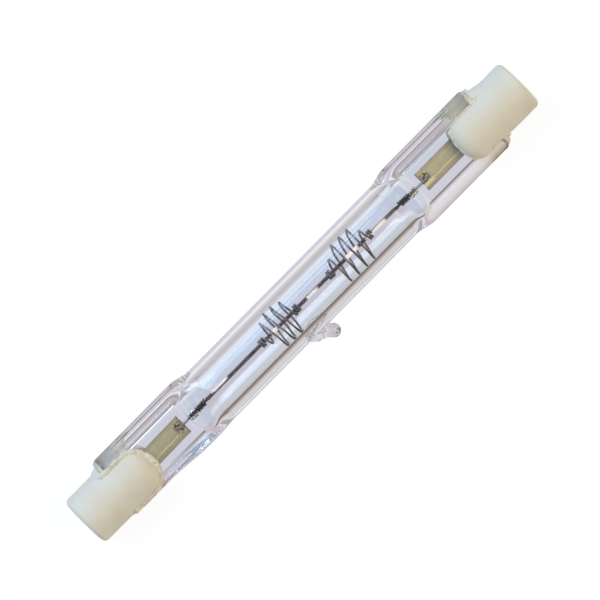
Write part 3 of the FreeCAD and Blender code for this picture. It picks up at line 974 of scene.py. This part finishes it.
def ceramic_material(c):
    """Pressed and fired ceramic: matt, faintly mottled, with fine pits."""
    s = Shader(bpy.data.materials.new("cap_ceramic"))
    mottle = s.grain(420.0, 4.0, 0.6)
    fine = s.grain(3200.0, 3.0, 0.6)
    pits = s.cells(2600.0).step(0.10, 0.0) * s.grain(900.0, 2.0).step(0.5, 0.65)
    warm = toned(c.ceramic_colour, 0.95, 0.90, 0.80)
    cool = toned(c.ceramic_colour, 1.02, 1.04, 1.10)
    tone = s.blend(mottle.step(0.1, 0.9), warm, cool)
    base = s.blend(pits * 0.5 + fine.step(0.55, 0.75) * 0.08, tone, (0.42, 0.37, 0.28))
    shader = s.principled(
        Base_Color=base, Roughness=fine * 0.15 + 0.55, Specular_IOR_Level=0.35,
        Normal=s.relief(fine * 0.6 + mottle - pits, 0.03 * MM, 0.6),
    )
    return s.finish(shader)


def cement_material(c):
    """Dried cement: cream, rough and grainy, with darker crumbs."""
    s = Shader(bpy.data.materials.new("cap_cement"))
    grains = s.grain(1500.0, 5.0, 0.7)
    crumbs = s.cells(1900.0).step(0.28, 0.08) * s.grain(700.0, 2.0).step(0.5, 0.62)
    tone = s.blend(grains.step(0.3, 0.7), toned(c.cement_colour, 0.78), toned(c.cement_colour, 1.22))
    base = s.blend(crumbs * 0.6, tone, (0.16, 0.12, 0.08))
    near_head = s.along(0).size().step(32.5 * MM, 33.1 * MM)
    base = s.blend(near_head * 0.8, base, tuple(c.ceramic_colour))
    shader = s.principled(
        Base_Color=base, Roughness=0.85, Specular_IOR_Level=0.25,
        Normal=s.relief(grains - crumbs, 0.08 * MM, 0.9),
    )
    return s.finish(shader)


def cap_profile(c):
    """Points of (x, radius) from the cheeks' rounded nose to the chamfered end face."""
    cheek = c.cap_radius - c.cheek_inset
    nose = [(c.cheek_tip, 0.0)]
    for i in range(13):
        a = math.pi / 2 * i / 12
        x = c.cheek_tip + c.nose_radius * (1 - math.cos(a))
        nose.append((x, cheek - c.nose_radius * (1 - math.sin(a))))
    end = rounded([
        nose[-1], (c.inset_start, cheek), (c.inset_end, c.cap_radius),
        (c.cap_end - c.end_chamfer, c.cap_radius), (c.cap_end, c.cap_radius - c.end_chamfer),
        (c.cap_end, 0.0),
    ], 0.2 * MM)
    return [(x, max(radius, 0.01 * MM)) for x, radius in nose[:-1] + end]


def cap_skin(c, sign):
    """One ceramic cap, with its slot, its recess and the hole for the lead."""
    body = shaped("cap_shape", lathe, cap_profile(c), 128)
    high = 2 * c.cap_radius
    near, far = (c.cheek_tip - MM, -high, -c.slot_half_height), (c.slot_floor, high, c.slot_half_height)
    slot = shaped("slot_shape", block, near, far)
    face = c.cap_end - c.contact_depth
    floor = face - SEAT_DEPTH
    recess = shaped("recess_shape", lathe, [
        (floor, c.seat_radius), (face, c.seat_radius), (face + 0.01 * MM, c.recess_radius),
        (c.cap_end - 0.2 * MM, c.recess_radius), (c.cap_end + MM, c.recess_radius + 1.2 * MM),
    ], 96)
    hole_radius = 0.9 * MM
    hole_line = [(c.slot_floor - MM, hole_radius), (floor + 0.5 * MM, hole_radius)]
    hole = shaped("lead_hole_shape", lathe, hole_line, 48)
    worked(body, [boolean("DIFFERENCE", cut) for cut in (slot, recess, hole)])
    drop(slot, recess, hole)
    worked(body, evened(0.1 * MM, 3))
    for vert in body.data.vertices:
        at = Vector((sign * vert.co.x, vert.co.y, vert.co.z))
        swell = 1 - 0.004 * (0.5 + 0.5 * lumps(at, 1.6 * MM, 1.0))
        vert.co = Vector((vert.co.x, vert.co.y * swell, vert.co.z * swell))
    mirrored(body, sign)
    return body


class LAMP_OT_caps(bpy.types.Operator):
    """Makes both ceramic caps, each with its slot and recess."""

    bl_idname = "lamp.caps"
    bl_label = "Ceramic Caps"

    def execute(self, context):
        c = context.scene.lamp_caps
        ceramic = ceramic_material(c)
        for side, sign in SIDES:
            lay(cap_skin(c, sign), "cap_" + side, ceramic, "ceramic", "ceramic_cap_" + side, sharp=60.0)
        return {"FINISHED"}


# For each side along X: how far its beads of cement stand out from the cheeks' edges, and a bead's
# radius, in mm.
BEADS = {-1: ((0.1, 0.45), 0.3), 1: ((0.0,), 0.15)}

# Outline of the cement at the corners of the pinches, in mm from the pinch's end and from the
# lamp's axis. The keys are the sides of the lamp along X and along Y.
FILLETS = {
    (-1, -1): ((-0.62, 3.6), (1.0, 3.6)),
    (-1, 1): ((-0.62, 4.2), (1.0, 3.66)),
    (1, -1): ((-0.62, 4.2), (0.6, 3.62)),
    (1, 1): ((-0.62, 4.3), (0.4, 3.94), (1.2, 3.72), (2.2, 3.58)),
}


def cheek_edge(c, spread, height):
    """The line where a cheek meets the glass, moved out by a spread."""
    cheek = c.cap_radius - c.cheek_inset
    straight_y = -math.sqrt(cheek**2 - c.slot_half_height**2)
    half = [Vector((c.slot_floor + 0.1 * MM - 0.3 * MM * i, straight_y)) for i in range(1, 13)]
    for i in range(1, 24):
        a = math.pi / 2 * (1 - i / 24)
        x = c.cheek_tip + c.nose_radius * (1 - math.cos(a))
        radius = cheek - c.nose_radius * (1 - math.sin(a))
        if radius > c.slot_half_height:
            half.append(Vector((x, -math.sqrt(radius**2 - c.slot_half_height**2))))
    half.append(Vector((c.cheek_tip + 0.01 * MM, 0.0)))
    line = half + [Vector((p.x, -p.y)) for p in reversed(half[:-1])]
    points = []
    for before, point, after in zip(line[:1] + line, line, line[1:] + line[-1:]):
        ahead = (after - before).normalized()
        reach = spread * (1 - 0.5 * ease(abs(point.y) / (3 * MM)))
        points.append(Vector((point.x - ahead.y * reach, point.y + ahead.x * reach, height)))
    return points


def glass_heights(q):
    """Half the heights that the cement keeps free for the pinch, at its web and at its rails."""
    return q.web_half_height + 0.02 * MM, q.rail_half_height + 0.015 * MM


def cement_skin(c, q, sign, seed):
    """Cement round one pinch: what fills the slot, the beads along the cheeks, and the corners."""
    spreads, thick = BEADS[sign]
    web, rail = glass_heights(q)
    side_y = math.sqrt(c.cap_radius**2 - c.slot_half_height**2) - 0.3 * MM
    lap, web_y, middle_y = 0.05 * MM, 2.6 * MM, 3.5 * MM
    deep = c.slot_floor + lap
    bm = bmesh.new()
    for up in (-1, 1):
        top = up * (c.slot_half_height + lap)
        low, high = sorted((up * web, top))
        block(bm, (c.cheek_tip + 0.3 * MM, -web_y, low), (deep, web_y, high))
        low, high = sorted((up * rail, top))
        wide = 4.1 * MM if sign > 0 > up else side_y
        block(bm, (c.cheek_tip + 2.0 * MM, -wide, low), (deep, wide, high))
        for spread in spreads:
            path = cheek_edge(c, spread * MM, up * (c.slot_half_height - lap))
            radii = []
            for point in path:
                swell = 1 + 0.4 * lumps(point, 1.0 * MM, seed + up + sign)
                swell += 0.25 * lumps(point, 0.4 * MM, seed)
                radii.append(thick * MM * swell)
            wire(bm, path, radii, 12)
    near = (q.pinch_end + 0.03 * MM, -middle_y, -c.slot_half_height)
    block(bm, near, (deep, middle_y, c.slot_half_height))
    back, root = -0.7, 2.95
    for across in (-1, 1):
        crest = FILLETS[sign, across]
        rings = []
        for z, cut in ((-1.62, 0.45), (-0.9, 0.0), (0.9, 0.0), (1.62, 0.45)):
            outline = [(back, root)] + [(x, y - cut) for x, y in crest] + [(crest[-1][0], root)]
            rings.append([Vector((q.pinch_end + x * MM, across * y * MM, z * MM)) for x, y in outline])
        loft(bm, rings)
    return skin("cement_shape", bm)


def roughen_cement(bed, q, sign, seed):
    """Gives the cement its lumps and keeps it off the glass."""
    web, rail = glass_heights(q)
    glass_end = q.pinch_end + 0.02 * MM
    normals = [vert.normal.copy() for vert in bed.data.vertices]
    for vert, normal in zip(bed.data.vertices, normals):
        at = Vector((sign * vert.co.x, vert.co.y, vert.co.z))
        in_corner = abs(at.y) > 2.9 * MM and vert.co.x > q.pinch_end - 0.6 * MM
        rough = 0.2 if in_corner else 1.0
        wave = lumps(at, 0.55 * MM, seed) * 0.08 + lumps(at, 0.22 * MM, seed + 9.0) * 0.04
        vert.co += normal * (wave * rough * MM)
        floor = web if abs(vert.co.y) < q.web_half_width else rail
        if vert.co.x < glass_end and abs(vert.co.z) < floor and abs(vert.co.y) < q.pinch_half_width:
            if vert.co.x > q.pinch_end - 0.25 * MM and abs(vert.co.z) < floor - 0.2 * MM:
                vert.co.x = glass_end
            else:
                vert.co.z = math.copysign(floor, vert.co.z)


class LAMP_OT_cement(bpy.types.Operator):
    """Fills both slots with cement that has squeezed out round the cheeks."""

    bl_idname = "lamp.cement"
    bl_label = "Cement"

    def execute(self, context):
        c, q = context.scene.lamp_caps, context.scene.lamp_quartz
        seed = context.scene.lamp_studio.grain_seed
        finish = cement_material(c)
        for side, sign in SIDES:
            bed = cement_skin(c, q, sign, seed)
            worked(bed, evened(0.09 * MM, 2))
            roughen_cement(bed, q, sign, seed)
            mirrored(bed, sign)
            lay(bed, "cement_" + side, finish, "cement", "cap_cement_" + side, sharp=180.0)
        return {"FINISHED"}


def contact_material(c):
    """Nickel: satin, with fine turned rings and small scuffs."""
    s = Shader(bpy.data.materials.new("contact_nickel"))
    place = s.place()
    reach = distance(s.along(1, place), s.along(2, place))
    rings = (reach * 26000.0).maths("SINE") * 0.5 + 0.5
    scuffs = s.grain(1800.0, 4.0, 0.7)
    base = s.blend(scuffs.step(0.35, 0.75), toned(c.contact_colour, 0.75), tuple(c.contact_colour))
    shader = s.principled(
        Base_Color=base, Metallic=1.0, Roughness=scuffs * 0.25 + 0.2,
        Normal=s.relief(rings * 0.6 + scuffs, 0.012 * MM, 0.5),
    )
    return s.finish(shader)


def contact_skin(c, sign):
    """A button with a shallow dimple in its face and a shank behind it."""
    face = c.cap_end - c.contact_depth
    back, dimple = face - SEAT_DEPTH, face - 0.05 * MM
    shank_end, middle = back - 1.9 * MM, 0.01 * MM
    head, shank = c.seat_radius - 0.05 * MM, 0.85 * MM
    profile = rounded([
        (shank_end, middle), (shank_end, shank), (back, shank), (back, head),
        (face - 0.02 * MM, head), (face, 1.1 * MM), (dimple, 0.55 * MM), (dimple, middle),
    ], 0.12 * MM)
    made = shaped("contact_shape", lathe, profile, 96)
    mirrored(made, sign)
    return made


class LAMP_OT_contacts(bpy.types.Operator):
    """Sets a nickel contact in the recess of each cap."""

    bl_idname = "lamp.contacts"
    bl_label = "Contacts"

    def execute(self, context):
        c = context.scene.lamp_caps
        nickel = contact_material(c)
        for side, sign in SIDES:
            lay(contact_skin(c, sign), "contact_" + side, nickel, "contact", "contact_" + side)
        return {"FINISHED"}


# Studio

def area_lamp(name, place, size, power, colour):
    """A soft square lamp that looks at the middle of the object."""
    data = bpy.data.lights.new(name, "AREA")
    data.shape = "RECTANGLE"
    data.size, data.size_y = size
    data.energy = power
    data.color = colour
    made = bpy.data.objects.new(name, data)
    made.location = place
    made.rotation_euler = (-Vector(place)).to_track_quat("-Z", "Y").to_euler()
    bpy.context.scene.collection.objects.link(made)


class LAMP_OT_studio(bpy.types.Operator):
    """Sets up the floor, the lamps, the world and the camera."""

    bl_idname = "lamp.studio"
    bl_label = "Studio"

    def execute(self, context):
        studio = context.scene.lamp_studio
        half = studio.floor_size / 2
        level = cad_bounds[0][2]
        corners = ((-1, -1), (1, -1), (1, 1), (-1, 1))
        bm = bmesh.new()
        bm.faces.new([bm.verts.new((x * half, y * half, level)) for x, y in corners])
        floor = skin("studio_floor", bm)
        floor.data.materials.append(self.floor_material())
        self.light_world(context.scene)
        area_lamp("key_lamp", (-0.25, 0.45, 0.75), (0.5, 0.5), 4.4, (0.60, 0.80, 1.0))
        area_lamp("fill_lamp", (0.45, -0.5, 0.55), (0.6, 0.6), 2.75, (1.0, 0.84, 0.42))
        self.set_camera(context.scene, studio)
        context.scene.view_settings.view_transform = "Standard"
        return {"FINISHED"}

    def floor_material(self):
        """White paper that keeps the object's shadow, and shows as bands of tones in the glass."""
        s = Shader(bpy.data.materials.new("studio_paper"))
        camera = s.light_path("Is Camera Ray")
        glossy = s.light_path("Is Glossy Ray")
        through = s.light_path("Is Transmission Ray")
        place = s.place()
        # Tones across the lamp, from 10 mm on the stub's side of its axis to 20 mm on the other
        # side. The glass shows them as its light and dark bands.
        start, width = -10.0 * MM, 30.0 * MM
        across = (s.along(1, place) - start) / width
        under_tube = s.ramp(across, [
            (0.085, (0.16, 0.12, 0.10)), (0.145, (0.42, 0.37, 0.33)), (0.20, (0.74, 0.68, 0.64)),
            (0.285, (0.68, 0.72, 0.77)), (0.31, (1.0, 1.0, 1.0)), (0.328, (0.84, 0.84, 0.87)),
            (0.35, (0.66, 0.61, 0.65)), (0.44, (0.69, 0.73, 0.84)), (0.475, (0.62, 0.67, 0.78)),
            (0.50, (0.78, 0.84, 0.90)), (0.55, (1.0, 1.0, 1.0)), (0.61, (0.76, 0.74, 0.77)),
            (0.9, (0.55, 0.52, 0.52)),
        ])
        under_pinch = s.ramp(across, [
            (0.20, (0.22, 0.17, 0.15)), (0.23, (0.80, 0.76, 0.74)), (0.255, (0.80, 0.78, 0.78)),
            (0.275, (0.56, 0.50, 0.51)), (0.31, (0.63, 0.59, 0.65)), (0.48, (0.60, 0.59, 0.65)),
            (0.497, (0.95, 0.92, 0.90)), (0.525, (0.34, 0.31, 0.33)), (0.56, (0.54, 0.52, 0.54)),
            (0.8, (0.32, 0.29, 0.28)),
        ])
        past_tube = s.along(0, place).size().step(16.8 * MM, 18.2 * MM)
        light_and_shade_bands = s.blend(past_tube, under_tube, under_pinch)
        white = s.node("Emission", values=((1.0, 1.0, 1.0), 1.06))
        banded = s.node("Emission", values=(light_and_shade_bands, 1.15))
        paper = s.node("BsdfDiffuse", values=((0.86, 0.86, 0.86),))
        seen = s.node("MixShader", values=((camera * 0.86).clamped(), paper, white))
        in_glass = (glossy + through).clamped() * (1.0 - camera)
        shown = s.node("MixShader", values=(in_glass, seen, banded))
        return s.finish(shown)

    def light_world(self, scene):
        """White to the camera, and a soft room to everything else."""
        world = bpy.data.worlds.new("studio_world")
        scene.world = world
        s = Shader(world)
        direction = s.node("TexCoord", output=0)
        height = s.along(2, direction) * 0.4 + s.along(1, direction) * 0.3 + 0.5
        room = s.ramp(height, [
            (0.0, (0.30, 0.28, 0.26)), (0.5, (0.30, 0.27, 0.25)), (0.66, (0.33, 0.35, 0.39)),
            (1.0, (0.44, 0.55, 0.80)),
        ])
        camera = s.light_path("Is Camera Ray")
        shown = s.blend(camera, room, (1.0, 1.0, 1.0))
        s.finish(s.node("Background", values=(shown, 1.0)))

    def set_camera(self, scene, studio):
        """Looks down on the lamp from its stub's side, banked as the lamp leans in the picture."""
        high, bank = studio.elevation, studio.bank
        towards = Vector((0.0, -math.cos(high), math.sin(high)))
        along, rise = Vector((1, 0, 0)), Vector((0.0, math.sin(high), math.cos(high)))
        right = along * math.cos(bank) - rise * math.sin(bank)
        up = along * math.sin(bank) + rise * math.cos(bank)
        pixel = studio.field / PICTURE_WIDTH
        target = right * (-2.25 * pixel) + up * (2.75 * pixel)
        data = bpy.data.cameras.new("studio_camera")
        data.sensor_fit = "HORIZONTAL"
        data.lens_unit = "FOV"
        data.angle = 2 * math.atan(studio.field / 2 / studio.distance)
        data.clip_start, data.clip_end = 0.01, 10.0
        camera = bpy.data.objects.new("studio_camera", data)
        turn = Matrix((right, up, towards)).transposed().to_4x4()
        turn.translation = target + towards * studio.distance
        camera.matrix_world = turn
        scene.collection.objects.link(camera)
        scene.camera = camera


# Add-on

class LAMP_PT_panel(bpy.types.Panel):
    """Lists the lamp's settings and its pieces in the 3D view's sidebar."""

    bl_idname = "LAMP_PT_panel"
    bl_label = "Linear Halogen Lamp"
    bl_space_type = "VIEW_3D"
    bl_region_type = "UI"
    bl_category = "Lamp"

    def draw(self, context):
        column = self.layout.column(align=True)
        for operator in OPERATORS:
            column.operator(operator.bl_idname)
        for group in GROUPS:
            box = self.layout.box()
            box.label(text=group.title())
            values = getattr(context.scene, "lamp_" + group)
            for name in values.__annotations__:
                box.prop(values, name)


GROUPS = {
    "quartz": QuartzSettings,
    "wires": WireSettings,
    "caps": CapSettings,
    "studio": StudioSettings,
}
OPERATORS = (
    LAMP_OT_studio, LAMP_OT_quartz, LAMP_OT_filament, LAMP_OT_spirals, LAMP_OT_leads, LAMP_OT_foils,
    LAMP_OT_caps, LAMP_OT_cement, LAMP_OT_contacts,
)


def register():
    """Registers the settings, the operators and the panel."""
    for kind in (*GROUPS.values(), *OPERATORS, LAMP_PT_panel):
        bpy.utils.register_class(kind)
    for name, kind in GROUPS.items():
        setattr(bpy.types.Scene, "lamp_" + name, PointerProperty(type=kind))


def unregister():
    """Removes what register added."""
    for name in GROUPS:
        delattr(bpy.types.Scene, "lamp_" + name)
    for kind in reversed((*GROUPS.values(), *OPERATORS, LAMP_PT_panel)):
        bpy.utils.unregister_class(kind)


def main():
    """Builds the whole scene."""
    register()
    bpy.ops.lamp.studio()
    bpy.ops.lamp.quartz()
    bpy.ops.lamp.filament()
    bpy.ops.lamp.spirals()
    bpy.ops.lamp.leads()
    bpy.ops.lamp.foils()
    bpy.ops.lamp.caps()
    bpy.ops.lamp.cement()
    bpy.ops.lamp.contacts()
    bpy.context.view_layer.update()


if __name__ == "__main__":
    main()
